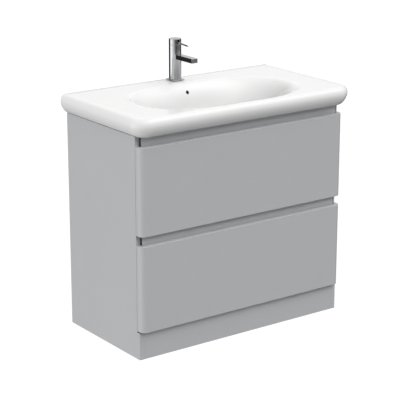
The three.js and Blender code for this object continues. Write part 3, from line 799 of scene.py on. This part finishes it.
def make_tap_head():
    """A cap, hollow underneath, with a slot in its front for the lever."""
    wall = TAP_RADIUS - 6 * MM
    under = head_high.z - 2.2 * MM
    lever_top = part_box("tap_lever")[1].z
    half_slot = LEVER_PIN + 0.8 * MM
    head = lathe("tap_head_turned", [
        (0, under), (wall, under), (wall, head_low.z), (TAP_RADIUS, head_low.z),
        (TAP_RADIUS, head_high.z), (0, head_high.z),
    ], TAP, 0.7 * MM, 128)
    slot = block(
        "slot", (-half_slot, TAP.y - 2 * TAP_RADIUS, lever_top - 11 * MM), (half_slot, TAP.y, under), 0,
    )
    return combine(head, "DIFFERENCE", slot)


def make_spout():
    """A square bar with eased edges, a concave end on the body and a nozzle under its tip."""
    low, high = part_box("tap_spout")
    spout = block("tap_spout_polished", low, (high.x, TAP.y - TAP_RADIUS / 2, high.z), 0.9 * MM, 3)
    aerator_low, aerator_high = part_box("tap_aerator")
    nozzle = (aerator_low + aerator_high) / 2
    nozzle_radius = (aerator_high.x - aerator_low.x) / 2
    body = cylinder(
        "body", Vector((*TAP, low.z - 0.01)), Vector((*TAP, high.z + 0.01)), TAP_RADIUS + 0.3 * MM, 128
    )
    pocket = cylinder(
        "pocket", Vector((nozzle.x, nozzle.y, low.z - 0.01)),
        Vector((nozzle.x, nozzle.y, aerator_high.z + 0.3 * MM)), nozzle_radius + 0.3 * MM,
    )
    combine(spout, "DIFFERENCE", body, pocket)
    settle(spout, "cabinet", "chrome", "tap_spout")


def make_lever():
    """The pin lever, with a domed tip, and the hub that it turns on inside the head."""
    low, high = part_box("tap_lever")
    hub = 5 * MM
    droop = math.radians(4)
    pivot = Vector((0.0, high.y - hub, high.z - hub))
    forward = Vector((0.0, -math.cos(droop), -math.sin(droop)))
    reach = (pivot.y - low.y) / math.cos(droop)
    rod = cylinder("tap_lever_polished", pivot, pivot + forward * reach, LEVER_PIN, 48, 1.4 * MM)
    axle = cylinder("hub", pivot - Vector((hub, 0, 0)), pivot + Vector((hub, 0, 0)), hub, 48, 0.5 * MM)
    combine(rod, "UNION", axle)
    settle(rod, "tap_lever", "chrome", "tap_lever")


# ---- fasteners ----------------------------------------------------------------------------------
SCREW_HEAD = 4 * MM  # radius
CAM_RADIUS = 7.4 * MM
CAM_PROUD = 0.35 * MM


def facing(at, way):
    """A place that looks a way, for something made on the origin looking up."""
    return Matrix.Translation(at) @ Vector(way).to_track_quat("Z", "Y").to_matrix().to_4x4()


def cross_cut(piece, length, width, depth, top):
    """Cuts a cross-shaped driver recess into a turned head."""
    bars = [
        block("bar", (-a, -b, top - depth), (a, b, top + depth), 0)
        for a, b in ((length / 2, width / 2), (width / 2, length / 2))
    ]
    return combine(piece, "DIFFERENCE", *bars)


def screw_head():
    head = lathe("screw_head", [
        (0, -0.3 * MM), (SCREW_HEAD, -0.3 * MM), (SCREW_HEAD, 0.5 * MM), (0.7 * SCREW_HEAD, 1.4 * MM),
        (0, 1.6 * MM),
    ], Vector((0, 0)), 0.3 * MM, 28)
    return cross_cut(head, 4.2 * MM, 0.9 * MM, 1.1 * MM, 1.6 * MM)


def cam_disc():
    """The face of a cam fitting: a thin lip round a sunk disc with a driver cross."""
    disc = lathe("cam_disc", [
        (0, -0.5 * MM), (CAM_RADIUS, -0.5 * MM), (CAM_RADIUS, CAM_PROUD), (0.9 * CAM_RADIUS, CAM_PROUD),
        (0.86 * CAM_RADIUS, 0.05 * MM), (0, 0.05 * MM),
    ], Vector((0, 0)), 0.12 * MM, 36)
    return cross_cut(disc, 7 * MM, 1.3 * MM, 0.4 * MM, 0.05 * MM)


def scattered(name, template, places, body):
    """One zinc piece made of copies of a template, which is then removed."""
    bm = bmesh.new()
    for place in places:
        before = len(bm.verts)
        bm.from_mesh(template.data)
        bm.verts.ensure_lookup_table()
        bmesh.ops.transform(bm, matrix=place, verts=bm.verts[before:])
    bpy.data.objects.remove(template)
    return settle(object_from(bm, name), body, "zinc_steel")


def make_bracket_screws():
    places = []
    for side, sign in SIDES:
        low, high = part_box("wall_bracket_" + side)
        leg = high.y - low.y
        plate = 2.5 * MM
        wall_side = sign * max(abs(low.x), abs(high.x))
        middle = (low.z + high.z) / 2
        places.append(facing((wall_side - sign * 0.6 * leg, high.y - plate, middle), (0, -1, 0)))
        for z in (low.z + leg / 4, high.z - leg / 4):
            places.append(facing((wall_side - sign * plate, high.y - 0.6 * leg, z), (-sign, 0, 0)))
    scattered("wall_bracket_screws", screw_head(), places, "cabinet")


def make_runner_screws(drawer):
    on_cabinet, on_drawer = [], []
    for side, sign in SIDES:
        for member, places, way in (("cabinet", on_cabinet, -sign), ("drawer", on_drawer, sign)):
            low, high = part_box(f"{drawer}_runner_{side}_{member}_member")
            outer, inner = sorted((low.x, high.x), key=abs, reverse=True)
            web = outer - sign * 1.5 * MM if member == "cabinet" else inner + sign * 1.5 * MM
            for share in (0.06, 0.42, 0.94):
                y = low.y + share * (high.y - low.y)
                places.append(facing((web, y, (low.z + high.z) / 2), (way, 0, 0)))
    scattered(drawer + "_runner_cabinet_screws", screw_head(), on_cabinet, "cabinet")
    scattered(drawer + "_runner_drawer_screws", screw_head(), on_drawer, drawer + "_drawer")


def make_rail_cams():
    """Cam fittings at the ends of the rails, on the faces that look to the wall."""
    places = []
    for rail in ("front_rail_upper", "front_rail_middle", "back_rail_upper", "back_rail_lower"):
        low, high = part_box(rail)
        drop = min(30 * MM, (high.z - low.z) / 2)
        for x in (low.x + 34 * MM, high.x - 34 * MM):
            for z in {low.z + drop, high.z - drop}:
                places.append(facing((x, high.y, z), (0, 1, 0)))
    scattered("rail_cam_fittings", cam_disc(), places, "cabinet")


def make_drawer_cams(drawer):
    """Cam fittings inside the drawer's sides, where they take the front."""
    places = []
    for side, sign in SIDES:
        low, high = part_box(f"{drawer}_drawer_side_{side}")
        inner = min(low.x, high.x, key=abs)
        for z in (low.z + 55 * MM, high.z - 45 * MM):
            places.append(facing((inner, low.y + 34 * MM, z), (-sign, 0, 0)))
    scattered(drawer + "_drawer_cam_fittings", cam_disc(), places, drawer + "_drawer")


def make_aerator_grid():
    """The honeycomb of fine ribs that shows in the mouth of the nozzle."""
    low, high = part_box("tap_aerator")
    centre = (low + high) / 2
    radius = (high.x - low.x) / 2 - 2.4 * MM
    pitch = 2.2 * MM
    bm = bmesh.new()
    for turn in (0, math.pi / 3, 2 * math.pi / 3):
        for row in range(-3, 4):
            offset = row * pitch
            half = math.sqrt(radius ** 2 - offset ** 2)
            before = len(bm.verts)
            bmesh.ops.create_cube(bm, size=1.0)
            bm.verts.ensure_lookup_table()
            bmesh.ops.transform(
                bm, verts=bm.verts[before:],
                matrix=Matrix.Translation((centre.x, centre.y, low.z)) @ Matrix.Rotation(turn, 4, "Z")
                @ Matrix.Translation((0, offset, 0)) @ Matrix.Diagonal((2 * half, 0.35 * MM, 1.2 * MM, 1)),
            )
    settle(object_from(bm, "tap_aerator_grid"), "cabinet", "white_plastic")


# ---- assembly -----------------------------------------------------------------------------------
make_basin()
for drawer in ("upper", "lower"):
    make_drawer_front(drawer)
    make_runner_screws(drawer)
    make_drawer_cams(drawer)
make_waste()
make_tap()
make_aerator_grid()
make_bracket_screws()
make_rail_cams()

BUILT = {n for o in bpy.context.scene.objects for n in o.get("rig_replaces", [])}
for node in sorted(set(frame["nodes"]) - BUILT):
    slot = SLOT_OF_NODE[node]
    refined(node, slot, tape=slot == "grey_board")


# ---- studio -------------------------------------------------------------------------------------
BACKDROP = 1.08  # brightness of the plain white that the camera sees round the unit
LIGHT_LOBES = (  # direction, tightness, strength
    ((0.0, 1.0, 0.36), 4.0, 1.65),
    ((-0.7, 0.7, 0.36), 4.0, 0.95),
    ((-1.0, 0.0, -0.36), 4.0, 1.75),
    ((0.7, -0.7, 0.36), 4.0, 0.6),
    ((0.7, 0.7, 0.4), 15.0, 0.75),
    ((0.7, -0.7, 1.0), 15.0, 3.9),
    ((0.0, -1.0, 1.0), 15.0, 3.4),
    ((-0.7, -0.7, 0.6), 15.0, 1.75),
    ((1.0, 0.0, 1.0), 15.0, 0.7),
)
DARK_SCREEN = ((-0.31, 0.95, 0.05), 4.5, -1.45)  # what polished metal sees behind the unit
BRIGHT_STRIP = ((-0.86, 0.42, -0.285), 30.0, 1.9)  # and beside it


def make_floor():
    bm = bmesh.new()
    bmesh.ops.create_grid(bm, x_segments=8, y_segments=8, size=40.0)
    floor = object_from(bm, "studio_floor")
    material = bpy.data.materials.new("studio_floor")
    material.use_nodes = True
    nodes, links = material.node_tree.nodes, material.node_tree.links
    nodes.clear()
    glow = nodes.new("ShaderNodeEmission")
    glow.inputs["Strength"].default_value = BACKDROP
    matt = nodes.new("ShaderNodeBsdfDiffuse")
    matt.inputs["Color"].default_value = (0.9, 0.9, 0.9, 1.0)
    mix = nodes.new("ShaderNodeMixShader")
    mix.inputs["Fac"].default_value = 0.1
    out = nodes.new("ShaderNodeOutputMaterial")
    links.new(glow.outputs["Emission"], mix.inputs[1])
    links.new(matt.outputs["BSDF"], mix.inputs[2])
    links.new(mix.outputs["Shader"], out.inputs["Surface"])
    floor.data.materials.append(material)
    floor.visible_diffuse = False
    floor.visible_glossy = False


def make_world():
    """A soft white studio, as broad lobes of light round the unit, and plain white where the camera
    looks straight at it. Reflections also show a dark screen and a bright strip."""
    world = bpy.data.worlds.new("studio")
    bpy.context.scene.world = world
    world.use_nodes = True
    nodes, links = world.node_tree.nodes, world.node_tree.links
    nodes.clear()
    way = nodes.new("ShaderNodeTexCoord").outputs["Generated"]

    def math_node(operation, *values):
        made = nodes.new("ShaderNodeMath")
        made.operation = operation
        for socket, value in zip(made.inputs, values):
            if isinstance(value, (int, float)):
                socket.default_value = value
            else:
                links.new(value, socket)
        return made.outputs["Value"]

    def add_lobe(direction, tightness, strength, onto):
        toward = nodes.new("ShaderNodeVectorMath")
        toward.operation = "DOT_PRODUCT"
        links.new(way, toward.inputs[0])
        toward.inputs[1].default_value = Vector(direction).normalized()
        fall = math_node("MULTIPLY_ADD", toward.outputs["Value"], tightness, -tightness)
        return math_node("MULTIPLY_ADD", math_node("EXPONENT", fall), strength, onto)

    path = nodes.new("ShaderNodeLightPath")
    total = 0.0
    for lobe in LIGHT_LOBES:
        total = add_lobe(*lobe, total)
    open_part = math_node("MAXIMUM", add_lobe(*DARK_SCREEN, 1.0), 0.0)
    mirrored = add_lobe(*BRIGHT_STRIP, math_node("MULTIPLY", total, open_part))
    change = math_node("SUBTRACT", mirrored, total)
    studio = nodes.new("ShaderNodeBackground")
    links.new(
        math_node("MULTIPLY_ADD", path.outputs["Is Glossy Ray"], change, total), studio.inputs["Strength"]
    )
    plain = nodes.new("ShaderNodeBackground")
    plain.inputs["Color"].default_value = (1.0, 1.0, 1.0, 1.0)
    plain.inputs["Strength"].default_value = BACKDROP
    mix = nodes.new("ShaderNodeMixShader")
    links.new(path.outputs["Is Camera Ray"], mix.inputs["Fac"])
    links.new(studio.outputs["Background"], mix.inputs[1])
    links.new(plain.outputs["Background"], mix.inputs[2])
    out = nodes.new("ShaderNodeOutputWorld")
    links.new(mix.outputs["Shader"], out.inputs["Surface"])


def make_camera():
    data = bpy.data.cameras.new("camera")
    data.sensor_width = 36.0
    data.lens = CAMERA_LENS
    data.clip_start, data.clip_end = 0.1, 200.0
    camera = bpy.data.objects.new("camera", data)
    bpy.context.scene.collection.objects.link(camera)
    camera.location = CAMERA_PLACE
    back = Vector((
        math.sin(CAMERA_AZIMUTH) * math.cos(CAMERA_ELEVATION),
        -math.cos(CAMERA_AZIMUTH) * math.cos(CAMERA_ELEVATION),
        math.sin(CAMERA_ELEVATION),
    ))
    camera.rotation_euler = (-back).to_track_quat("-Z", "Y").to_euler()
    bpy.context.scene.camera = camera


make_floor()
make_world()
make_camera()
bpy.context.scene.view_settings.view_transform = "Standard"
